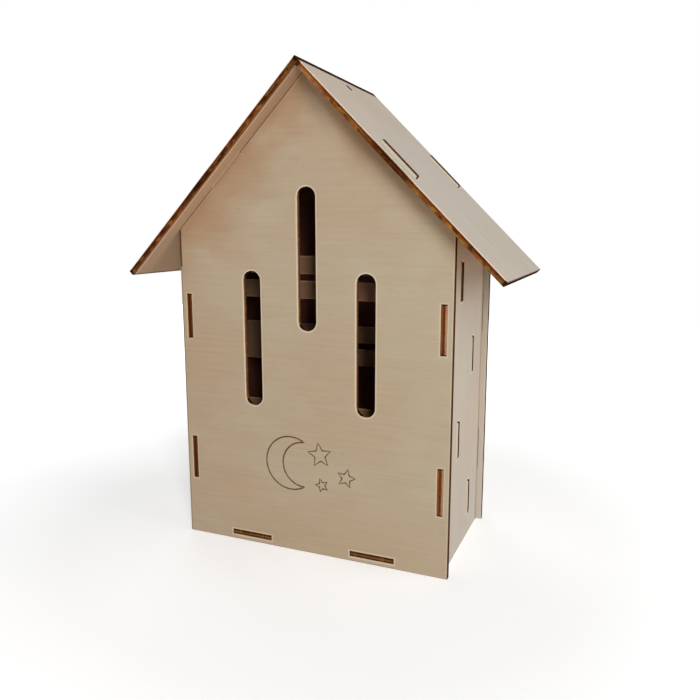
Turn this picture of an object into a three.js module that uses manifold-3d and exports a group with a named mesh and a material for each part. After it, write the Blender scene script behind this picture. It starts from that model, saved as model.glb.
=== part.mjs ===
// A small bat box of laser-cut plywood: eleven flat pieces that press together with tabs and slots.
// Millimetres, +Z up. The front faces -Y, and the origin is on the ground under the middle of the box.

import Module from "manifold-3d";
import * as THREE from "three";
import { mergeVertices } from "three/addons/utils/BufferGeometryUtils.js";

const wasm = await Module();
wasm.setup();

// Driving sizes
const overallHeight = 215; // ground to ridge
const bodyWidth = 130; // front and back walls
const bodyDepth = 70; // outer face of the front wall to outer face of the back wall
const roofDepth = 88; // the roof stands out the same at the front and the back
const roofSlope = 121; // a roof panel, from under the ridge down to the eave

// The sheet that every piece is cut from
const sheet = 2.5;

// Fits
const tabPlay = 0.1; // beside each face of a tab in its slot
const tabEndPlay = 0.5; // at each end of a tab in its slot
const seatGap = 0.05; // between a square shoulder and the panel that it meets
const slopeGap = 0.3; // between the roof and what it lies on
const cutOverrun = 1; // how far a cut runs past each face of the sheet

// Walls
const sideInset = 2.8; // edge of the front wall to the outer face of a side wall
const sideTab = 20;
const lowerSideTab = 38.3; // ground to the middle of the lower tab
const upperSideTabDrop = 41.8; // top of a side wall down to the middle of the upper tab

// Entrances in the front wall
const entranceWidth = 8.7;
const entranceLength = 61.6;
const entranceSpacing = 27.35;
const outerEntranceDrop = 82.2; // wall's apex down to the top of an outer entrance
const middleEntranceDrop = 46.3; // the same for the middle entrance

// Floor
const floorLift = 2.2; // ground to its underside
const floorTab = 20;
const floorTabSpread = 60.8; // between the middles of its two tabs on one side

// Inner slats
const slatHeight = 20;
const slatTab = 16.4;
const slatTabProud = 0.5; // how far it stands out of the side wall
const slatRowSpacing = 23.4; // middle of the front row to middle of the rear row
const lowestSlat = 19.8; // ground to the middle of the lowest slat
const topSlatDrop = 24; // top of a side wall down to the middle of the top slat
const slatSlitHeight = 3;
const slatSlitEnd = 11; // end of the slit to the end of the slat

// Roof
const roofTab = 20.8;
const roofTabProud = 1.2; // how far it stands out of the roof
const roofTabMiddle = 55.2; // under the ridge, down the slope, to the middle of a tab
const cordHole = 4; // diameter
const cordHoleDrop = 7.4; // ridge, down the slope, to the middle of the hole

// The ridge is a right angle, so a roof panel with a square edge fits flat against the other one.
const rightAngle = Math.PI / 2;
const pitch = rightAngle / 2;

// Worked out from the sizes above
const underRidge = overallHeight - sheet / Math.cos(pitch);
const wallApex = underRidge - slopeGap / Math.cos(pitch);
const eaveHeight = wallApex - (bodyWidth / 2) * Math.tan(pitch);
const sideFace = bodyWidth / 2 - sideInset;
const sideHeight = wallApex - sideFace * Math.tan(pitch);
const sideTabHeights = [lowerSideTab, sideHeight - upperSideTabDrop];
const insideWidth = 2 * (sideFace - sheet);
const insideDepth = bodyDepth - 2 * sheet;
const frontFace = -bodyDepth / 2;
const backFace = bodyDepth / 2;

const slotWidth = sheet + 2 * tabPlay;
const slotLength = (tab) => tab + 2 * tabEndPlay;
const arcSteps = 12;

// Materials: pale basswood veneer, greyer where the walls and roof turn to the light
const frontVeneer = 0xb09e82;
const sideVeneer = 0xc1b4a3;
const roofVeneer = 0xc0b6ab;
const innerVeneer = 0xab9375;

function plywood(colour) {
  return new THREE.MeshStandardMaterial({ color: colour, roughness: 0.75, metalness: 0 });
}

// Walks from one corner of an anticlockwise outline to the next, stepping out round each tab on the
// way. The tabs' middles are measured from the first corner.
function edge(from, to, middles = [], tabLength = 0, reach = 0) {
  const along = to.clone().sub(from).normalize();
  const outwards = new THREE.Vector2(along.y, -along.x);
  const points = [from];
  for (const middle of middles) {
    const start = from.clone().addScaledVector(along, middle - tabLength / 2);
    const end = from.clone().addScaledVector(along, middle + tabLength / 2);
    const startTip = start.clone().addScaledVector(outwards, reach);
    const endTip = end.clone().addScaledVector(outwards, reach);
    points.push(start, startTip, endTip, end);
  }
  return points;
}

// The same middles, measured from the other end of an edge
function fromOtherEnd(middles, edgeLength) {
  return middles.map((middle) => edgeLength - middle).reverse();
}

function slotShape(middleX, middleY, sizeX, sizeY) {
  return new THREE.Shape([
    new THREE.Vector2(middleX - sizeX / 2, middleY - sizeY / 2),
    new THREE.Vector2(middleX + sizeX / 2, middleY - sizeY / 2),
    new THREE.Vector2(middleX + sizeX / 2, middleY + sizeY / 2),
    new THREE.Vector2(middleX - sizeX / 2, middleY + sizeY / 2),
  ]);
}

// An upright slit with half-round ends
function entranceShape(middleX, top) {
  const radius = entranceWidth / 2;
  const slit = new THREE.Shape();
  slit.absarc(middleX, top - radius, radius, 0, Math.PI, false);
  slit.absarc(middleX, top - entranceLength + radius, radius, Math.PI, 2 * Math.PI, false);
  slit.closePath();
  return slit;
}

function roundHoleShape(middleX, middleY, diameter) {
  const hole = new THREE.Shape();
  hole.absarc(middleX, middleY, diameter / 2, 0, 2 * Math.PI, false);
  return hole;
}

function extruded(shape, start, depth) {
  const settings = { depth, bevelEnabled: false, curveSegments: arcSteps };
  const geometry = new THREE.ExtrudeGeometry(shape, settings).translate(0, 0, start);
  geometry.deleteAttribute("normal");
  geometry.deleteAttribute("uv");
  const merged = mergeVertices(geometry);
  const vertProperties = merged.attributes.position.array;
  return new wasm.Manifold(new wasm.Mesh({ numProp: 3, vertProperties, triVerts: merged.index.array }));
}

// One flat piece: its outline, one sheet thick, less the shapes cut out of it
function cutFromSheet(name, outline, cuts, colour) {
  let solid = extruded(outline, 0, sheet);
  for (const cut of cuts) {
    solid = solid.subtract(extruded(cut, -cutOverrun, sheet + 2 * cutOverrun));
  }
  const { vertProperties, triVerts } = solid.getMesh();
  const geometry = new THREE.BufferGeometry();
  geometry.setAttribute("position", new THREE.BufferAttribute(vertProperties, 3));
  geometry.setIndex(new THREE.BufferAttribute(triVerts, 1));
  geometry.computeVertexNormals();
  const mesh = new THREE.Mesh(geometry, plywood(colour));
  mesh.name = name;
  return mesh;
}

// Stands a piece up facing the front, with its front face at the depth given
function standFacingFront(mesh, face) {
  mesh.rotation.x = rightAngle;
  mesh.position.y = face + sheet;
  return mesh;
}

// Front and back walls: a gable with a tab on each slope
function gableOutline() {
  const footLeft = new THREE.Vector2(-bodyWidth / 2, 0);
  const footRight = new THREE.Vector2(bodyWidth / 2, 0);
  const eaveRight = new THREE.Vector2(bodyWidth / 2, eaveHeight);
  const apex = new THREE.Vector2(0, wallApex);
  const eaveLeft = new THREE.Vector2(-bodyWidth / 2, eaveHeight);
  const slopeLength = apex.distanceTo(eaveLeft);
  const roofTabs = [roofTabMiddle - slopeGap * Math.tan(pitch)];
  const roofTabReach = slopeGap + sheet + roofTabProud;
  return new THREE.Shape([
    ...edge(footLeft, footRight),
    ...edge(footRight, eaveRight),
    ...edge(eaveRight, apex, fromOtherEnd(roofTabs, slopeLength), roofTab, roofTabReach),
    ...edge(apex, eaveLeft, roofTabs, roofTab, roofTabReach),
    ...edge(eaveLeft, footLeft),
  ]);
}

// The slots in a gable: two for each side wall's tabs, and one for each of the floor's tabs
function gableSlots() {
  return [-1, 1].flatMap((side) => [
    ...sideTabHeights.map((height) =>
      slotShape(side * (sideFace - sheet / 2), height, slotWidth, slotLength(sideTab)),
    ),
    slotShape((side * floorTabSpread) / 2, floorLift + sheet / 2, slotLength(floorTab), slotWidth),
  ]);
}

function frontPanel() {
  const entrances = [
    entranceShape(0, wallApex - middleEntranceDrop),
    ...[-1, 1].map((side) => entranceShape(side * entranceSpacing, wallApex - outerEntranceDrop)),
  ];
  const cuts = [...gableSlots(), ...entrances];
  return standFacingFront(cutFromSheet("front_panel", gableOutline(), cuts, frontVeneer), frontFace);
}

function backPanel() {
  const panel = cutFromSheet("back_panel", gableOutline(), gableSlots(), sideVeneer);
  return standFacingFront(panel, backFace - sheet);
}

// The slats climb like a stair in even steps: rear, front, rear, front. Each has its row and its
// middle's height.
const slatNames = ["rear_lower_slat", "front_lower_slat", "rear_upper_slat", "front_upper_slat"];
const slatStep = (sideHeight - topSlatDrop - lowestSlat) / (slatNames.length - 1);
const slats = slatNames.map((name, step) => ({
  name,
  row: ((step % 2 === 0 ? 1 : -1) * slatRowSpacing) / 2,
  height: lowestSlat + step * slatStep,
}));

// Side wall: two tabs into the front wall, two into the back wall, and a slot for each slat's end
function sidePanel(name, side) {
  const halfDepth = insideDepth / 2 - seatGap;
  const footFront = new THREE.Vector2(-halfDepth, 0);
  const footBack = new THREE.Vector2(halfDepth, 0);
  const topBack = new THREE.Vector2(halfDepth, sideHeight);
  const topFront = new THREE.Vector2(-halfDepth, sideHeight);
  const reach = seatGap + sheet;
  const outline = new THREE.Shape([
    ...edge(footFront, footBack),
    ...edge(footBack, topBack, sideTabHeights, sideTab, reach),
    ...edge(topBack, topFront),
    ...edge(topFront, footFront, fromOtherEnd(sideTabHeights, sideHeight), sideTab, reach),
  ]);
  const slots = slats.map((slat) => slotShape(slat.row, slat.height, slotWidth, slotLength(slatTab)));
  const mesh = cutFromSheet(name, outline, slots, sideVeneer);
  mesh.rotation.set(rightAngle, rightAngle, 0);
  mesh.position.x = side * (sideFace - sheet / 2) - sheet / 2;
  return mesh;
}

// Floor: lies between the side walls on four tabs, two into the front wall and two into the back wall
function floorPanel() {
  const halfWidth = insideWidth / 2 - seatGap;
  const halfDepth = insideDepth / 2 - seatGap;
  const frontLeft = new THREE.Vector2(-halfWidth, -halfDepth);
  const frontRight = new THREE.Vector2(halfWidth, -halfDepth);
  const backRight = new THREE.Vector2(halfWidth, halfDepth);
  const backLeft = new THREE.Vector2(-halfWidth, halfDepth);
  const middles = [halfWidth - floorTabSpread / 2, halfWidth + floorTabSpread / 2];
  const reach = seatGap + sheet;
  const outline = new THREE.Shape([
    ...edge(frontLeft, frontRight, middles, floorTab, reach),
    ...edge(frontRight, backRight),
    ...edge(backRight, backLeft, middles, floorTab, reach),
    ...edge(backLeft, frontLeft),
  ]);
  const mesh = cutFromSheet("floor_panel", outline, [], innerVeneer);
  mesh.position.z = floorLift;
  return mesh;
}

// Inner slat: a strip on edge with a long slit for claws, held by a tab through each side wall
function slatPanel(slat) {
  const halfWidth = insideWidth / 2 - seatGap;
  const footLeft = new THREE.Vector2(-halfWidth, slat.height - slatHeight / 2);
  const footRight = new THREE.Vector2(halfWidth, slat.height - slatHeight / 2);
  const topRight = new THREE.Vector2(halfWidth, slat.height + slatHeight / 2);
  const topLeft = new THREE.Vector2(-halfWidth, slat.height + slatHeight / 2);
  const reach = seatGap + sheet + slatTabProud;
  const outline = new THREE.Shape([
    ...edge(footLeft, footRight),
    ...edge(footRight, topRight, [slatHeight / 2], slatTab, reach),
    ...edge(topRight, topLeft),
    ...edge(topLeft, footLeft, [slatHeight / 2], slatTab, reach),
  ]);
  const slit = slotShape(0, slat.height, 2 * (halfWidth - slatSlitEnd), slatSlitHeight);
  return standFacingFront(cutFromSheet(slat.name, outline, [slit], innerVeneer), slat.row - sheet / 2);
}

// Roof panel, drawn with X down the slope from under the ridge: a slot for each wall's tab, and a
// cord hole. One panel starts against the other, which laps over its square top edge.
function roofPanel(name, topEdge) {
  const halfDepth = roofDepth / 2;
  const outline = new THREE.Shape([
    new THREE.Vector2(topEdge, -halfDepth),
    new THREE.Vector2(roofSlope, -halfDepth),
    new THREE.Vector2(roofSlope, halfDepth),
    new THREE.Vector2(topEdge, halfDepth),
  ]);
  const cuts = [
    roundHoleShape(cordHoleDrop - sheet, 0, cordHole),
    ...[-1, 1].map((end) =>
      slotShape(roofTabMiddle, end * (backFace - sheet / 2), slotLength(roofTab), slotWidth),
    ),
  ];
  const mesh = cutFromSheet(name, outline, cuts, roofVeneer);
  mesh.rotation.y = pitch;
  return mesh;
}

const rightSlope = new THREE.Group();
rightSlope.add(roofPanel("right_roof_panel", slopeGap));

const leftSlope = new THREE.Group();
leftSlope.rotation.z = Math.PI;
leftSlope.add(roofPanel("left_roof_panel", -sheet));

const roof = new THREE.Group();
roof.position.z = underRidge;
roof.add(rightSlope, leftSlope);

const batBox = new THREE.Group();
batBox.add(frontPanel(), backPanel());
batBox.add(sidePanel("left_side_panel", -1), sidePanel("right_side_panel", 1));
batBox.add(floorPanel());
batBox.add(...slats.map(slatPanel));
batBox.add(roof);

export default batBox;
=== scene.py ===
import math

import bmesh
import bpy
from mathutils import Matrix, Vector


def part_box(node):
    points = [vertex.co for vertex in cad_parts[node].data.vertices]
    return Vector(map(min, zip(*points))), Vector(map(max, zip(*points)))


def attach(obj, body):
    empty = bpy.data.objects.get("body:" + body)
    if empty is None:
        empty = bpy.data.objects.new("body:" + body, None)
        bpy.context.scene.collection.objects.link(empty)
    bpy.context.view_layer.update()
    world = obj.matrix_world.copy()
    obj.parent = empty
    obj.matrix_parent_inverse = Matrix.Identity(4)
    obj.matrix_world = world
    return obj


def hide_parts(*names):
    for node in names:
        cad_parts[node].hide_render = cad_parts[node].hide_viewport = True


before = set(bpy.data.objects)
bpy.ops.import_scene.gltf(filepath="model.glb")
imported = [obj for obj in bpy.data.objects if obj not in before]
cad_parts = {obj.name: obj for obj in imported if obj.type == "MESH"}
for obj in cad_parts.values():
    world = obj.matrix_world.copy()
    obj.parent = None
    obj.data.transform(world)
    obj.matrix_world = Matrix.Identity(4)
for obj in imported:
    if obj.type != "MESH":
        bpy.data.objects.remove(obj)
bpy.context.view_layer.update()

# The front wall: a gabled sheet of three-ply basswood with three tall slits for the bats, and tab slots.
# A laser cuts it and chars its edges, and fine paper then takes the sharpness off every rim.
# It is pressed over the tabs of the side walls and floor. Its moon and stars are burnt in fine lines.
front_low, front_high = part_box("front_panel")
sheet_thickness = front_high.y - front_low.y
slope_top = (front_high.z - front_low.z) / 2
tab_ends = [abs(corner.co.x) + corner.co.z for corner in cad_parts["front_panel"].data.vertices]
tab_reach = max(tab_ends) - front_high.z


def paint(red, green, blue):
    """A colour as a screen shows it, in steps of 255, made into the light that a shader takes."""
    full = 255
    screen_curve = 2.2
    return tuple((step / full) ** screen_curve for step in (red, green, blue)) + (1,)


def tinted(colour, red, green, blue):
    """The colour with its red, green and blue each times a share, which may be over 1."""
    return (colour[0] * red, colour[1] * green, colour[2] * blue, 1)


def cut_sheet(node, outward):
    """A copy of a sheet with its flat faces whole, a narrow band beside each cut, and rubbed rims."""
    same_point = 2e-6
    flat = math.radians(1)
    rim_bend = math.radians(30)
    band_width = 0.0008
    rim_round = 0.00015
    level = 0.999
    sheet = bmesh.new()
    sheet.from_mesh(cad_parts[node].data)
    bmesh.ops.remove_doubles(sheet, verts=sheet.verts, dist=same_point)
    bmesh.ops.dissolve_limit(
        sheet, angle_limit=flat, verts=sheet.verts, edges=sheet.edges, use_dissolve_boundaries=False
    )
    faces = [face for face in sheet.faces if abs(face.normal.dot(outward)) > level]
    bmesh.ops.inset_region(
        sheet, faces=faces, thickness=band_width, depth=0, use_boundary=True, use_even_offset=True
    )
    rims = [edge for edge in sheet.edges if edge.calc_face_angle() > rim_bend]
    bmesh.ops.bevel(
        sheet, geom=rims, offset=rim_round, offset_type="OFFSET", affect="EDGES",
        segments=2, profile=0.5, material=-1, clamp_overlap=True,
    )
    return sheet


def mark_rims(sheet, outward, skip=None):
    """Marks the rim points of each cut, where a face is painted paler, partly as highlight, but not those
    of the skipped material.
    """
    level = 0.999
    layers = sheet.verts.layers.float
    beside_cut = layers.get("beside_cut") or layers.new("beside_cut")
    for vert in sheet.verts:
        beside = (face for face in vert.link_faces if face.material_index != skip)
        vert[beside_cut] = float(any(abs(face.normal.dot(outward)) < level for face in beside))


def lay_in_body(name, node, outward, finish, charred_ways=()):
    """Cuts a node's sheet and lays it in the body, with the four materials of its finish on its faces."""
    facing = 0.5
    same_way = 0.9
    outer, inner, edge, charred = range(4)
    sheet = cut_sheet(node, outward)
    for face in sheet.faces:
        toward = face.normal.dot(outward)
        if toward > facing:
            face.material_index = outer
        elif toward < -facing:
            face.material_index = inner
        elif any(abs(face.normal.dot(way)) > same_way for way in charred_ways):
            face.material_index = charred
        else:
            face.material_index = edge
    mark_rims(sheet, outward)
    mesh = bpy.data.meshes.new(name)
    sheet.to_mesh(mesh)
    sheet.free()
    for material in finish:
        mesh.materials.append(material)
    piece = bpy.data.objects.new(name, mesh)
    bpy.context.scene.collection.objects.link(piece)
    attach(piece, "root")
    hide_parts(node)
    return piece


def sheet_material(name, node, turn):
    """A material with coordinates laid in its sheet: x along the grain, z through the plies."""
    sheen = 0.25
    material = bpy.data.materials.new(name)
    material.use_nodes = True
    tree = material.node_tree
    low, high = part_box(node)
    coordinates = tree.nodes.new("ShaderNodeTexCoord")
    in_sheet = tree.nodes.new("ShaderNodeMapping")
    in_sheet.name = "In the sheet"
    in_sheet.vector_type = "TEXTURE"
    in_sheet.inputs["Location"].default_value = (low + high) / 2
    in_sheet.inputs["Rotation"].default_value = turn
    tree.links.new(coordinates.outputs["Object"], in_sheet.inputs["Vector"])
    tree.nodes["Principled BSDF"].inputs["Specular IOR Level"].default_value = sheen
    return material


def places(tree):
    """A point's place along, across and through its sheet, from the sheet's middle."""
    split = tree.nodes.new("ShaderNodeSeparateXYZ")
    tree.links.new(tree.nodes["In the sheet"].outputs["Vector"], split.inputs["Vector"])
    return split.outputs["X"], split.outputs["Y"], split.outputs["Z"]


def reckon(tree, operation, *values):
    """The outcome of one sum, each value of which is a socket or a plain number."""
    outcome = tree.nodes.new("ShaderNodeMath")
    outcome.operation = operation
    for value, socket in zip(values, outcome.inputs):
        if isinstance(value, (int, float)):
            socket.default_value = value
        else:
            tree.links.new(value, socket)
    return outcome.outputs[0]


def marks(tree, size, shift, detail):
    """Noise whose marks are about size long, wide and deep in the sheet, in metres."""
    spread = tree.nodes.new("ShaderNodeMapping")
    spread.inputs["Scale"].default_value = [1 / length for length in size]
    spread.inputs["Location"].default_value = (shift, shift, shift)
    noise = tree.nodes.new("ShaderNodeTexNoise")
    noise.inputs["Scale"].default_value = 1
    noise.inputs["Detail"].default_value = detail
    tree.links.new(tree.nodes["In the sheet"].outputs["Vector"], spread.inputs["Vector"])
    tree.links.new(spread.outputs["Vector"], noise.inputs["Vector"])
    return noise.outputs["Fac"]


def stretch(tree, value, low, high, start, end):
    """The value, taken from low to high, as a number that goes from start to end and no further."""
    spread = tree.nodes.new("ShaderNodeMapRange")
    for socket, number in zip(("From Min", "From Max", "To Min", "To Max"), (low, high, start, end)):
        spread.inputs[socket].default_value = number
    tree.links.new(value, spread.inputs["Value"])
    return spread.outputs["Result"]


def lay_over(tree, under, tint, mask, low, high, strength, blend="MIX"):
    """A colour with a tint laid over it, the more the nearer the mask comes from low to high."""
    mix = tree.nodes.new("ShaderNodeMixRGB")
    mix.blend_type = blend
    if isinstance(under, tuple):
        mix.inputs["Color1"].default_value = under
    else:
        tree.links.new(under, mix.inputs["Color1"])
    mix.inputs["Color2"].default_value = tint
    tree.links.new(stretch(tree, mask, low, high, 0, strength), mix.inputs["Fac"])
    return mix.outputs["Color"]


def roughen(tree, height, strength, depth):
    """Fine relief of that depth, in metres, from a height between 0 and 1."""
    bump = tree.nodes.new("ShaderNodeBump")
    bump.inputs["Strength"].default_value = strength
    bump.inputs["Distance"].default_value = depth
    tree.links.new(height, bump.inputs["Height"])
    tree.links.new(bump.outputs["Normal"], tree.nodes["Principled BSDF"].inputs["Normal"])


def basswood_face(name, node, turn, colour, figure, shift):
    """A sanded face: slow clouds, soft bands, fine streaks, short flecks, and a rim by each cut painted
    paler, partly as highlight.
    """
    cloud = (0.05, 0.04, 0.04)
    patch = (0.018, 0.009, 0.009)
    band = (0.11, 0.006, 0.006)
    streak = (0.03, 0.0012, 0.0012)
    fleck = (0.005, 0.0004, 0.0004)
    patch_shift = 5
    brown = tinted(colour, 0.97, 0.90, 0.86)
    dull = tinted(colour, 0.93, 0.90, 0.86)
    dark = tinted(colour, 0.82, 0.76, 0.68)
    pale = tinted(colour, 1.1, 1.1, 1.1)
    deep = tinted(colour, 0.68, 0.6, 0.5)
    sanded_highlight = tinted(colour, 1.42, 1.42, 1.50)
    material = sheet_material(name, node, turn)
    tree = material.node_tree
    streaks = marks(tree, streak, shift, detail=4)
    beside_cut = tree.nodes.new("ShaderNodeAttribute")
    beside_cut.attribute_name = "beside_cut"
    shown = colour
    for tint, mask, low, high, strength in (
        (brown, marks(tree, cloud, shift, detail=2), 0.42, 0.60, 1),
        (brown, marks(tree, patch, shift + patch_shift, detail=3), 0.45, 0.65, 0.6),
        (dull, marks(tree, band, shift, detail=3), 0.48, 0.66, 0.3),
        (dark, streaks, 0.50, 0.75, 0.22),
        (pale, streaks, 0.48, 0.30, 0.22),
        (deep, marks(tree, fleck, shift, detail=1), 0.67, 0.74, 0.3),
    ):
        shown = lay_over(tree, shown, tint, mask, low, high, strength * figure)
    # The rim beside a cut is painted paler: sanded wood, and partly a painted highlight.
    shown = lay_over(tree, shown, sanded_highlight, beside_cut.outputs["Fac"], low=0, high=0.75, strength=1)
    shader = tree.nodes["Principled BSDF"]
    roughness = stretch(tree, streaks, low=0.35, high=0.65, start=0.56, end=0.70)
    tree.links.new(shown, shader.inputs["Base Color"])
    tree.links.new(roughness, shader.inputs["Roughness"])
    roughen(tree, streaks, strength=0.15, depth=0.00008)
    return material


def burnt_edge(name, node, turn, plies, burn, rub_and_highlight, shift):
    """A laser-cut edge: its plies from the inner face out, glue lines, uneven char and a pale rim, sanded
    and partly painted highlight.
    """
    middle = 0.5
    half_core = 0.17
    half_glue = 0.03
    rim_fade = 0.05
    patch = (0.012, 0.012, 0.004)
    burn_mark = (0.0018, 0.0018, 0.01)
    speckle = (0.0011, 0.0011, 0.0007)
    char = paint(58, 30, 16)
    red_char = paint(86, 40, 16)
    sanded_highlight = paint(226, 190, 160)
    inner_ply, core, outer_ply = plies
    glue_colour = tinted(core, 0.5, 0.5, 0.5)
    golden = tinted(core, 1.7, 1.6, 1.4)
    half_sheet = sheet_thickness / 2
    rim_from = half_sheet - (rub_and_highlight + rim_fade) * sheet_thickness
    rim_to = half_sheet - rub_and_highlight * sheet_thickness
    material = sheet_material(name, node, turn)
    tree = material.node_tree
    through = places(tree)[2]
    layers = tree.nodes.new("ShaderNodeValToRGB")
    ramp = layers.color_ramp.elements
    ramp[0].color = inner_ply
    ramp[1].color = outer_ply
    for side, ply in ((-1, inner_ply), (1, outer_ply)):
        glue = middle + side * half_core
        ramp.new(glue - side * half_glue).color = core
        ramp.new(glue).color = glue_colour
        ramp.new(glue + side * half_glue).color = ply
    tree.links.new(stretch(tree, through, -half_sheet, half_sheet, 0, 1), layers.inputs["Fac"])
    burn_marks = marks(tree, burn_mark, shift, detail=4)
    shown = layers.outputs["Color"]
    for tint, mask, low, high, strength in (
        (char, marks(tree, patch, shift, detail=5), 0.46, 0.66, 0.9 * burn),
        (char, burn_marks, 0.48, 0.70, 0.45 * burn),
        (red_char, marks(tree, speckle, shift, detail=2), 0.50, 0.68, burn),
        (golden, burn_marks, 0.44, 0.28, 0.5),
        # The pale rim by the outer face is sanded wood and partly a painted highlight.
        (sanded_highlight, through, rim_from, rim_to, 0.8),
    ):
        shown = lay_over(tree, shown, tint, mask, low, high, strength)
    shader = tree.nodes["Principled BSDF"]
    shader.inputs["Specular IOR Level"].default_value = 0
    roughness = stretch(tree, burn_marks, low=0.35, high=0.65, start=0.65, end=0.85)
    tree.links.new(shown, shader.inputs["Base Color"])
    tree.links.new(roughness, shader.inputs["Roughness"])
    roughen(tree, burn_marks, strength=0.5, depth=0.0001)
    return material


def sheet_finish(name, node, turn, shift, outer, inner, figure, plies, burn, rub_and_highlight):
    """The four materials of one sheet, for its outer face, inner face, burnt edges and charred edges."""
    char = paint(62, 36, 16)
    charred = (char, char, char)
    return [
        basswood_face(f"{name} outer face", node, turn, outer, figure, shift),
        basswood_face(f"{name} inner face", node, turn, inner, figure, shift + 1),
        burnt_edge(f"{name} burnt edge", node, turn, plies, burn, rub_and_highlight, shift),
        burnt_edge(f"{name} charred edge", node, turn, charred, burn=0, rub_and_highlight=0, shift=shift),
    ]


def gable_places(tree):
    """How far a point of a gabled sheet is out from the middle, up toward the slopes, and to the right."""
    rightward, upward = places(tree)[:2]
    outward = reckon(tree, "ABSOLUTE", rightward)
    return outward, reckon(tree, "ADD", outward, upward), rightward


def tone_over(material, tint, mask, low, high, strength, blend="MIX"):
    """A tint laid over all that the material shows so far."""
    tree = material.node_tree
    colour = tree.nodes["Principled BSDF"].inputs["Base Color"]
    shown = colour.links[0].from_socket
    tree.links.new(lay_over(tree, shown, tint, mask, low, high, strength, blend), colour)


def stain(material, shares, mask, low, high):
    """Red, green and blue each times a share, over or under 1, so the grain still shows."""
    tone_over(material, (*shares, 1), mask, low, high, strength=1, blend="MULTIPLY")


def both(tree, first, second):
    """A mask that holds only where two others do."""
    return reckon(tree, "MINIMUM", first, second)


def clean_tabs(material):
    """The tabs that stand out past the slopes keep the wood's own colour, without smoke or painted shade,
    and end in a burnt line.
    """
    fade = 0.0002
    line_width = 0.0007
    line_colour = paint(58, 36, 16)
    up_slope = gable_places(material.node_tree)[1]
    tone_over(material, tab_colour, up_slope, slope_top + fade, slope_top + 2 * fade, strength=1)
    line_from = slope_top + tab_reach - line_width
    tone_over(material, line_colour, up_slope, line_from, line_from + fade, strength=0.95)


def smoke_and_shade_slopes(material, colour, shift):
    """Beside the slopes: smoke and painted shade under the roof, wide at the left; painted shade and light
    at the right.
    """
    reach = 0.034
    close_shade_reach = 0.011
    light_lift_from = 0.019
    light_lift_to = 0.009
    joint_shade_width = 0.0009
    unevenness = 0.03
    right_loss = 0.02
    left_side_to = -0.004
    right_side_from = 0.012
    drift_size = (0.03, 0.02, 0.02)
    smoke_and_shade = (0.86, 0.71, 0.62)
    painted_light_lift = (1.12, 1.11, 1.10)
    painted_close_shade = (0.92, 0.80, 0.72)
    joint_shade_colour = tinted(colour, 0.6, 0.42, 0.26)
    tree = material.node_tree
    up_slope, rightward = gable_places(tree)[1:]
    drift = marks(tree, drift_size, shift, detail=3)
    sway = stretch(tree, drift, low=0.3, high=0.7, start=-unevenness / 2, end=unevenness / 2)
    loss_at_right = stretch(tree, rightward, left_side_to, right_side_from, 0, right_loss)
    loss_at_left = stretch(tree, rightward, left_side_to, right_side_from, light_lift_from, 0)
    by_left_slope = reckon(tree, "SUBTRACT", reckon(tree, "ADD", up_slope, sway), loss_at_right)
    by_right_slope = reckon(tree, "SUBTRACT", up_slope, loss_at_left)
    # Smoke and painted shade under the roof, widely at the left.
    stain(material, smoke_and_shade, by_left_slope, slope_top - reach, slope_top)
    # Painted light: a paler band further in from the right slope lifts the roof's shadow.
    stain(material, painted_light_lift, by_right_slope, slope_top - light_lift_from, slope_top - light_lift_to)
    # Painted shade: a close, warm dark band under the right roof's overhang.
    stain(material, painted_close_shade, by_right_slope, slope_top - close_shade_reach, slope_top)
    # Painted shade: a dark line where the roof meets the gable.
    tone_over(material, joint_shade_colour, up_slope, slope_top - joint_shade_width, slope_top, strength=0.75)
    clean_tabs(material)


def tone_ends(material, colour):
    """From the inner sides of the side walls out, a face inside the box has another colour instead of the
    painted shade within.
    """
    fade = 0.0005
    ends_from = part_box("right_side_panel")[0].x
    outward = gable_places(material.node_tree)[0]
    tone_over(material, colour, outward, ends_from, ends_from + fade, strength=1)


def dark_contour(face, edge, colour):
    """The outer cuts' edges stay brown, and a hair of the face beside them is darker, partly as painted
    shade at the joints.
    """
    line_width = 0.0006
    right_width = 0.0002
    fade = 0.0002
    eave_height = 0.130
    out_to = front_high.x
    eave_line = eave_height - slope_top
    tree = face.node_tree
    outward = gable_places(edge.node_tree)[0]
    tone_over(edge, colour, outward, out_to - 3 * fade, out_to - 2 * fade, strength=1)
    rightward, upward = places(tree)[:2]
    for way, low, high, strength in (
        (rightward, line_width + fade - out_to, line_width - out_to, 0.6),
        (rightward, out_to - right_width - fade, out_to - right_width, 0.9),
        (upward, line_width - slope_top, line_width - fade - slope_top, 0.5),
    ):
        tone_over(face, colour, way, low, high, strength)
    at_left = stretch(tree, rightward, 2 * line_width - out_to, line_width - out_to, 0, 1)
    above_eave = stretch(tree, upward, eave_line - fade, eave_line, 0, 1)
    # Painted shade: at the left above the eave, a dark band where the roof's underside meets the wall.
    tone_over(face, colour, both(tree, at_left, above_eave), low=0, high=1, strength=1)


def lighten_slits(edge, shares):
    """The slits' walls, well in from the side walls and up from the floor, are only browned."""
    out_to = 0.045
    foot_height = 0.05
    fade = 0.002
    foot = foot_height - slope_top
    tree = edge.node_tree
    well_in = stretch(tree, gable_places(tree)[0], out_to, out_to - fade, 0, 1)
    well_up = stretch(tree, places(tree)[1], foot, foot + fade, 0, 1)
    stain(edge, shares, both(tree, well_in, well_up), low=0, high=1)


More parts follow.
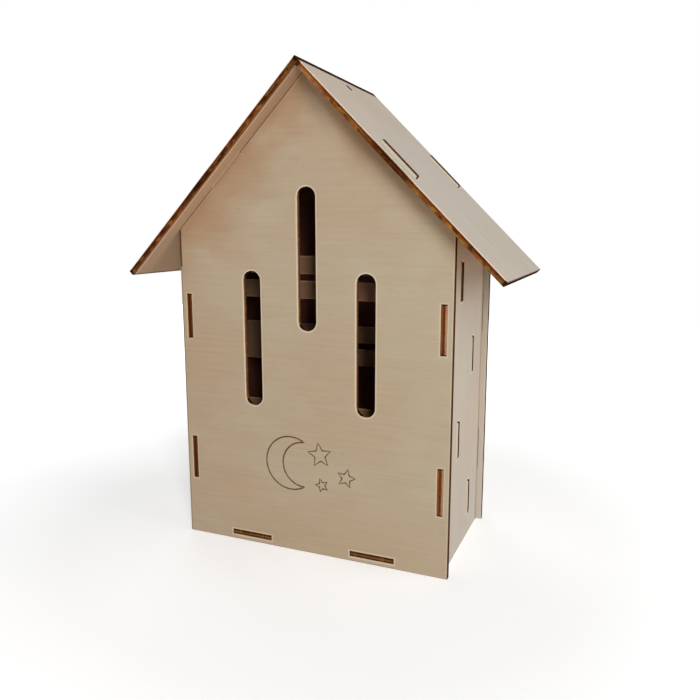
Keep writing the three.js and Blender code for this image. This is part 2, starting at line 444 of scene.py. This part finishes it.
def crescent(middle_x, middle_z, radius, bite, bite_shift, steps):
    """The closed outline of a crescent moon: round the moon, and back along the round of its bite."""
    tip_x = (radius ** 2 - bite ** 2 + bite_shift ** 2) / (2 * bite_shift)
    tip = math.acos(tip_x / radius)
    bite_tip = math.atan2(radius * math.sin(tip), tip_x - bite_shift)
    outline = []
    for step in range(steps + 1):
        angle = tip + (2 * math.pi - 2 * tip) * step / steps
        outline.append((middle_x + radius * math.cos(angle), middle_z + radius * math.sin(angle)))
    for step in range(1, steps):
        angle = 2 * math.pi - bite_tip - (2 * math.pi - 2 * bite_tip) * step / steps
        outline.append((middle_x + bite_shift + bite * math.cos(angle), middle_z + bite * math.sin(angle)))
    return outline


def star(middle_x, middle_z, radius, lean):
    """The closed outline of a five-pointed star that leans to the left, in degrees."""
    points = 5
    upright = 90
    waist_share = 0.45
    outline = []
    for step in range(2 * points):
        reach = radius * (waist_share if step % 2 else 1)
        angle = math.radians(upright + lean) + math.pi * step / points
        outline.append((middle_x + reach * math.cos(angle), middle_z + reach * math.sin(angle)))
    return outline


quarter_turn = math.radians(90)
half_turn = math.radians(180)
front_outward = Vector((0, -1, 0))
front_turn = (quarter_turn, 0, 0)
gable_slopes = (Vector((1, 0, 1)).normalized(), Vector((-1, 0, 1)).normalized())
front_colour = paint(186, 170, 144)
tab_colour = paint(206, 192, 168)
# Painted shade: faces inside the box are painted dark brown, as the shade within it.
inside_shade_colour = paint(150, 94, 76)
burn_and_shade_colour = paint(74, 46, 24)
front_plies = (paint(92, 60, 36), paint(112, 80, 52), paint(158, 126, 94))
slit_shares = (1.5, 1.55, 1.6)
painted_left_shade = (0.98, 0.93, 0.91)
painted_left_shade_from = 0.02
slots_from = 0.0585
slots_to = 0.0635
slot_rim_share = 0.5
front_finish = sheet_finish(
    "front wall", "front_panel", front_turn, shift=3.1, outer=front_colour, inner=inside_shade_colour, figure=1,
    plies=front_plies, burn=0.5, rub_and_highlight=0.05,
)
front_outside, front_inside, front_edge = front_finish[:3]
front_rightward = places(front_outside.node_tree)[0]
# Painted shade: the front's left part is painted a little darker and pinker, as the light comes from the
# right.
stain(front_outside, painted_left_shade, front_rightward, low=painted_left_shade_from, high=front_low.x)
smoke_and_shade_slopes(front_outside, front_colour, shift=8.6)
tone_ends(front_inside, front_colour)
clean_tabs(front_inside)
dark_contour(front_outside, front_edge, burn_and_shade_colour)
lighten_slits(front_edge, slit_shares)
front_wall = lay_in_body(
    "front_wall", "front_panel", front_outward, front_finish, gable_slopes,
)

burn_line_width = 0.0007
burn_speck = (0.0012, 0.0012, 0.0012)
burn_roughness = 0.85
burn_colour = paint(118, 92, 62)
deep_burn_colour = tinted(burn_colour, 0.5, 0.45, 0.4)
outlines = [
    crescent(middle_x=-0.009, middle_z=0.042, radius=0.0125, bite=0.0105, bite_shift=0.0065, steps=40),
    star(middle_x=0.0055, middle_z=0.0475, radius=0.0058, lean=8),
    star(middle_x=0.0183, middle_z=0.0385, radius=0.0044, lean=-12),
    star(middle_x=0.0065, middle_z=0.0335, radius=0.0032, lean=20),
]
burn_material = sheet_material("burnt line", "front_panel", front_turn)
burn_tree = burn_material.node_tree
specks = marks(burn_tree, burn_speck, shift=5.5, detail=2)
burn_shown = lay_over(burn_tree, burn_colour, deep_burn_colour, specks, low=0.4, high=0.7, strength=0.8)
burn_shader = burn_tree.nodes["Principled BSDF"]
burn_tree.links.new(burn_shown, burn_shader.inputs["Base Color"])
burn_shader.inputs["Roughness"].default_value = burn_roughness
front_wall.data.materials.append(burn_material)
burnt = len(front_wall.data.materials) - 1

burner_path = bpy.data.curves.new("burner_path", "CURVE")
burner_path.dimensions = "3D"
burner_path.bevel_depth = burn_line_width / 2
burner_path.bevel_resolution = 2
for outline in outlines:
    line = burner_path.splines.new("POLY")
    line.points.add(len(outline) - 1)
    for point, (x, z) in zip(line.points, outline):
        point.co = (x, front_low.y, z, 1)
    line.use_cyclic_u = True
path_object = bpy.data.objects.new("burner_path", burner_path)
bpy.context.scene.collection.objects.link(path_object)
bpy.context.view_layer.update()
burner_mesh = bpy.data.meshes.new_from_object(path_object)
bpy.data.objects.remove(path_object)
burner = bpy.data.objects.new("burner", burner_mesh)
bpy.context.scene.collection.objects.link(burner)
burner_mesh.materials.clear()
for material in front_wall.data.materials:
    burner_mesh.materials.append(material)
for face in burner_mesh.polygons:
    face.material_index = burnt
burning = front_wall.modifiers.new("burning", "BOOLEAN")
burning.operation = "DIFFERENCE"
burning.solver = "EXACT"
burning.use_self = True
burning.object = burner
with bpy.context.temp_override(object=front_wall, active_object=front_wall, selected_objects=[front_wall]):
    bpy.ops.object.modifier_apply(modifier=burning.name)
bpy.data.objects.remove(burner)
burnt_front = bmesh.new()
burnt_front.from_mesh(front_wall.data)
mark_rims(burnt_front, front_outward, skip=burnt)
beside_cut = burnt_front.verts.layers.float["beside_cut"]
# The painted pale rim, partly highlight, is weaker beside the slots for the side walls' tabs.
for vert in burnt_front.verts:
    if slots_from < abs(vert.co.x) < slots_to:
        vert[beside_cut] *= slot_rim_share
burnt_front.to_mesh(front_wall.data)
burnt_front.free()

# The back wall: the same gabled sheet without slits, from the same paler veneer as the sides.
# The same laser cuts it and chars its edges.
# It is pressed over the rear tabs of the side walls and floor, and closes the box.
wall_colour = paint(193, 181, 165)
wall_plies = (paint(120, 80, 50), paint(98, 50, 22), paint(150, 109, 79))
back_outward = Vector((0, 1, 0))
back_finish = sheet_finish(
    "back wall", "back_panel", (quarter_turn, 0, half_turn), shift=11.4, outer=wall_colour,
    inner=inside_shade_colour, figure=0.6, plies=wall_plies, burn=0.6, rub_and_highlight=0.05,
)
back_inside = back_finish[1]
tone_ends(back_inside, wall_colour)
clean_tabs(back_inside)
back_charred_ways = (*gable_slopes, Vector((1, 0, 0)))
lay_in_body("back_wall", "back_panel", back_outward, back_finish, back_charred_ways)

# The two side walls: upright sheets of the same paler plywood, with two tabs at each upright edge.
# Each has four slots, cut by the laser, that take the ends of the slats.
# Their tabs go through the front and back walls and hold the two apart.
eave_light_reach = 0.04
foot_reach = 0.05
painted_eave_light = (1.34, 1.09, 0.82)
foot_shares = (0.96, 1.02, 1.08)
front_joint = front_high.y
back_joint = -front_joint
painted_joint_highlight = paint(228, 208, 186)
painted_joint_shade = paint(70, 44, 24)
painted_back_joint_shade = paint(140, 112, 86)
left_wall_plies = (paint(96, 62, 30), paint(82, 40, 16), paint(100, 64, 36))
right_wall_plies = (paint(132, 86, 50), paint(108, 54, 24), paint(168, 122, 88))
# The left wall's inside is painted darker still, as painted shade.
left_inside_shade_colour = paint(104, 64, 52)
for side, node, across, plies, inside_colour in (
    ("left", "left_side_panel", -1, left_wall_plies, left_inside_shade_colour),
    ("right", "right_side_panel", 1, right_wall_plies, inside_shade_colour),
):
    side_finish = sheet_finish(
        f"{side} wall", node, (0, across * quarter_turn, 0), shift=7.3 + across, outer=wall_colour,
        inner=inside_colour, figure=0.5, plies=plies, burn=0.35, rub_and_highlight=0.05,
    )
    side_outside = side_finish[0]
    side_low, side_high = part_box(node)
    half_side = (side_high.z - side_low.z) / 2
    along, backward = places(side_outside.node_tree)[:2]
    # Painted light and shade: the wall's top, in the eave's shade, is painted warmer and lighter.
    stain(side_outside, painted_eave_light, along, across * (eave_light_reach - half_side), -across * half_side)
    stain(side_outside, foot_shares, along, across * (half_side - foot_reach), across * half_side)
    # Painted shade in the corners where the wall meets the front and back walls, with a painted highlight
    # beside the front one.
    for tint, joint, fades_at, full_at, strength in (
        (painted_joint_highlight, front_joint, 0.0025, 0.0015, 0.6),
        (painted_joint_shade, front_joint, 0.0008, 0.0006, 0.9),
        (painted_back_joint_shade, back_joint, -0.003, -0.002, 0.6),
    ):
        tone_over(side_outside, tint, backward, joint + fades_at, joint + full_at, strength)
    lay_in_body(f"{side}_wall", node, Vector((across, 0, 0)), side_finish)

# The floor: a plain sheet of darker plywood just above the walls' feet.
# It has two tabs at the front edge and two at the back.
# The tabs go through the front and back walls.
floor_colour = paint(176, 152, 124)
floor_plies = (paint(70, 40, 18), paint(124, 92, 56), paint(70, 40, 18))
floor_finish = sheet_finish(
    "floor", "floor_panel", (half_turn, 0, 0), shift=15.2, outer=floor_colour, inner=inside_shade_colour,
    figure=0.6, plies=floor_plies, burn=0.5, rub_and_highlight=0.05,
)
lay_in_body("floor_sheet", "floor_panel", Vector((0, 0, -1)), floor_finish)

# The slats: four strips from side to side, in a front and a rear row, that the bats cling to.
# They are bare plywood, painted browner than the walls as shade inside the box, and each has a long slit.
# A tab at each end goes through a slot in the side wall. The front upper slat's tabs are burnt darkest.
slat_shade_colour = paint(128, 98, 75)
slat_end_colour = paint(205, 190, 168)
burnt_end_colour = paint(96, 62, 34)
slat_cut_ways = (Vector((1, 0, 0)), Vector((0, 0, 1)))
slat_painted_light = (1.6, 1.45, 1.4)
slat_light_from = -0.004
slat_light_to = 0.012
first_shift = 20
next_shift = 3.7
slats = ("front_lower_slat", "front_upper_slat", "rear_lower_slat", "rear_upper_slat")
for number, node in enumerate(slats):
    slat_finish = sheet_finish(
        f"{node} strip", node, front_turn, shift=first_shift + next_shift * number, outer=slat_shade_colour,
        inner=slat_shade_colour, figure=1, plies=wall_plies, burn=0.6, rub_and_highlight=0,
    )
    for slat_face in slat_finish[:2]:
        rightward = places(slat_face.node_tree)[0]
        # Painted light: the slats are paler toward the right, where light falls in through the slits.
        stain(slat_face, slat_painted_light, rightward, slat_light_from, slat_light_to)
        tone_ends(slat_face, burnt_end_colour if node == "front_upper_slat" else slat_end_colour)
    lay_in_body(f"{node}_strip", node, front_outward, slat_finish, slat_cut_ways)

# The roof: two sheets on the gables' slopes, well past the walls all round, with cord holes by the ridge.
# Their veneer is greyer outside and browner underneath, and their laser-cut edges are unevenly charred.
# The gables' tabs go through them, and the left sheet laps over the right one's top edge.
roof_colour = paint(181, 171, 158)
eaves_colour = paint(198, 165, 133)
slope = math.radians(45)
left_roof_plies = (paint(98, 64, 36), paint(78, 48, 24), paint(62, 38, 20))
right_roof_plies = (paint(138, 97, 56), paint(134, 90, 46), paint(112, 70, 32))
ridge_shares = (0.99, 0.95, 0.89)
ridge_shares_reach = 0.05
ridge_cut_colour = paint(176, 116, 84)
ridge_cut_fades = 0.018
ridge_cut_full = 0.006
hole_colour = paint(40, 22, 10)
hole_reach = 0.003
scorch_middle = -0.005


def scorch(material, middle, half_length):
    """The stretch of a cut, around a place along the grain, where the laser has burnt deepest."""
    fade = 0.003
    scorched = paint(52, 22, 8)
    tree = material.node_tree
    away = reckon(tree, "ABSOLUTE", reckon(tree, "SUBTRACT", places(tree)[0], middle))
    tone_over(material, scorched, away, half_length + fade, half_length - fade, strength=0.75)


def mottle(material, shift, strength):
    """Red and golden stretches along a roof's cut, a dark line by its outer ply, and a pale rim, partly
    painted highlight.
    """
    stretch_size = (0.005, 0.02, 0.0016)
    fleck_size = (0.004, 0.02, 0.0009)
    gold_shift = 4
    fleck_shift = 8
    glue_line = 0.0007
    rim_line = 0.0002
    ember = paint(150, 62, 28)
    gold = paint(168, 118, 58)
    burnt_fleck = paint(58, 20, 8)
    burnt_glue = paint(74, 26, 10)
    sanded_highlight = paint(232, 200, 170)
    half_sheet = sheet_thickness / 2
    tree = material.node_tree
    through = places(tree)[2]
    embers = marks(tree, stretch_size, shift, detail=5)
    golds = marks(tree, stretch_size, shift + gold_shift, detail=5)
    flecks = marks(tree, fleck_size, shift + fleck_shift, detail=4)
    for tint, mask, low, high, share in (
        (ember, embers, 0.50, 0.60, 0.6 * strength),
        (gold, golds, 0.50, 0.62, 0.7 * strength),
        (burnt_fleck, flecks, 0.54, 0.64, 0.8),
        (burnt_glue, through, half_sheet - 2 * glue_line, half_sheet - glue_line, 0.6),
        # The last tone is a pale rim: sanded wood and partly a painted highlight.
        (sanded_highlight, through, half_sheet - 2 * rim_line, half_sheet - rim_line, 0.9),
    ):
        tone_over(material, tint, mask, low, high, share)


def char_ends(material, colour, width, half_length):
    """A sheet's cuts, or a hair of its faces beside them, are burnt dark at the eave and the ridge."""
    fade = 0.0003
    tree = material.node_tree
    away = reckon(tree, "ABSOLUTE", places(tree)[0])
    dark_from = half_length - width
    tone_over(material, colour, away, dark_from - fade, dark_from, strength=0.85)


def char_hole(material, colour, reach):
    """The cord hole's wall, the only cut that near to the middle, is burnt dark."""
    fade = 0.0003
    tree = material.node_tree
    away = reckon(tree, "ABSOLUTE", places(tree)[1])
    tone_over(material, colour, away, reach + fade, reach, strength=0.95)


def rim_by_front(material, colour, width, strength):
    """The tone of a roof face's front rim."""
    fade = 0.0002
    front_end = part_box("right_roof_panel")[0].y
    backward = places(material.node_tree)[1]
    tone_over(material, colour, backward, front_end + width, front_end + width - fade, strength)


for side, node, across, plies, half_scorch, mottling in (
    ("left", "left_roof_panel", -1, left_roof_plies, 0.007, 0.8),
    ("right", "right_roof_panel", 1, right_roof_plies, 0.011, 1),
):
    roof_outward = Vector((across * math.sin(slope), 0, math.cos(slope)))
    down_slope = Vector((across * math.cos(slope), 0, -math.sin(slope)))
    roof_finish = sheet_finish(
        f"{side} roof", node, (0, across * slope, 0), shift=31.6 + across, outer=roof_colour,
        inner=eaves_colour, figure=0.5, plies=plies, burn=0.7, rub_and_highlight=0.06,
    )
    roof_outside, roof_inside, roof_edge = roof_finish[:3]
    roof_low, roof_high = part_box(node)
    half_slope = (roof_high.x - roof_low.x - sheet_thickness * math.sin(slope)) / math.cos(slope) / 2
    if side == "right":
        downward = places(roof_edge.node_tree)[0]
        tone_over(
            roof_edge, ridge_cut_colour, downward, low=ridge_cut_fades - half_slope,
            high=ridge_cut_full - half_slope, strength=0.8,
        )
    mottle(roof_edge, shift=41.3 + across, strength=mottling)
    scorch(roof_edge, scorch_middle, half_scorch)
    char_hole(roof_edge, hole_colour, hole_reach)
    rightward = places(roof_outside.node_tree)[0]
    stain(
        roof_outside, ridge_shares, rightward, low=across * (ridge_shares_reach - half_slope),
        high=-across * half_slope,
    )
    # The two pale front rims below are sanded wood and partly a painted highlight.
    rim_by_front(roof_outside, paint(238, 214, 190), width=0.0006, strength=0.7)
    rim_by_front(roof_inside, paint(228, 198, 166), width=0.0025, strength=0.8)
    rim_by_front(roof_inside, paint(116, 62, 26), width=0.0013, strength=0.9)
    for material, tint, width in (
        (roof_outside, paint(70, 50, 36), 0.0003),
        (roof_inside, paint(52, 40, 26), 0.0007),
        (roof_edge, paint(36, 18, 8), 0.0012),
    ):
        char_ends(material, tint, width, half_slope)
    lay_in_body(f"{side}_roof", node, roof_outward, roof_finish, [down_slope])

# The studio: a plain white floor that keeps the box's soft shadow, and white all round.
# A tall narrow lamp lights the box from the front right, and broad ones from the right and the back left.
# The camera stands in front at the right, a little above the slits, and looks slightly down.
studio = bpy.context.scene
floor_reach = 0.8
floor_grey = 0.8
floor_roughness = 0.9
near_glow = 0.34
far_glow = 0.95
glow_from = 0.13
glow_to = 0.45
floor_mesh = bpy.data.meshes.new("studio_floor")
floor_shape = bmesh.new()
bmesh.ops.create_grid(floor_shape, x_segments=1, y_segments=1, size=floor_reach)
floor_shape.to_mesh(floor_mesh)
floor_shape.free()
studio_floor = bpy.data.objects.new("studio_floor", floor_mesh)
studio.collection.objects.link(studio_floor)
floor_material = bpy.data.materials.new("studio floor")
floor_material.use_nodes = True
floor_tree = floor_material.node_tree
floor_shader = floor_tree.nodes["Principled BSDF"]
floor_shader.inputs["Base Color"].default_value = (floor_grey, floor_grey, floor_grey, 1)
floor_shader.inputs["Roughness"].default_value = floor_roughness
floor_shader.inputs["Emission Color"].default_value = (1, 1, 1, 1)
floor_path = floor_tree.nodes.new("ShaderNodeLightPath")
floor_place = floor_tree.nodes.new("ShaderNodeTexCoord")
from_middle = floor_tree.nodes.new("ShaderNodeVectorMath")
from_middle.operation = "LENGTH"
floor_tree.links.new(floor_place.outputs["Object"], from_middle.inputs[0])
glow = stretch(floor_tree, from_middle.outputs["Value"], glow_from, glow_to, near_glow, far_glow)
seen_glow = reckon(floor_tree, "MULTIPLY", glow, floor_path.outputs["Is Camera Ray"])
floor_tree.links.new(seen_glow, floor_shader.inputs["Emission Strength"])
floor_mesh.materials.append(floor_material)

room_light = 0.2
world = bpy.data.worlds.new("white room")
world.use_nodes = True
studio.world = world
world_tree = world.node_tree
ray = world_tree.nodes.new("ShaderNodeLightPath").outputs
seen_or_mirrored = reckon(world_tree, "MAXIMUM", ray["Is Camera Ray"], ray["Is Glossy Ray"])
seen = reckon(world_tree, "MAXIMUM", seen_or_mirrored, ray["Is Transmission Ray"])
background = world_tree.nodes["Background"]
background.inputs["Color"].default_value = (1, 1, 1, 1)
world_tree.links.new(stretch(world_tree, seen, 0, 1, room_light, 1), background.inputs["Strength"])

lamp_distance = 1.1
aim = Vector((0, 0, (front_low.z + front_high.z) / 2))
for name, direction, width, height, power in (
    ("front lamp", (0.64, -1, 0.6), 0.2, 1, 8.7),
    ("side lamp", (0.95, 0.05, 0.3), 0.8, 0.8, 4.2),
    ("back lamp", (-0.7, 0.8, 0.3), 0.8, 0.8, 4.2),
):
    toward = Vector(direction).normalized()
    lamp = bpy.data.lights.new(name, "AREA")
    lamp.shape = "RECTANGLE"
    lamp.size = width
    lamp.size_y = height
    lamp.energy = power
    lamp_object = bpy.data.objects.new(name, lamp)
    lamp_object.location = aim + toward * lamp_distance
    lamp_object.rotation_euler = toward.to_track_quat("Z", "Y").to_euler()
    studio.collection.objects.link(lamp_object)

picture_side = 700
focal_pixels = 690.6
camera_turn = math.radians(22.69)
camera_tilt = math.radians(10.11)
camera_place = (0.1319, -0.3022, 0.148)
camera = bpy.data.cameras.new("camera")
camera.sensor_width = 36
camera.lens = focal_pixels / picture_side * camera.sensor_width
camera_object = bpy.data.objects.new("camera", camera)
camera_object.location = camera_place
camera_object.rotation_euler = (quarter_turn - camera_tilt, 0, camera_turn)
studio.collection.objects.link(camera_object)
studio.camera = camera_object
studio.view_settings.view_transform = "Standard"
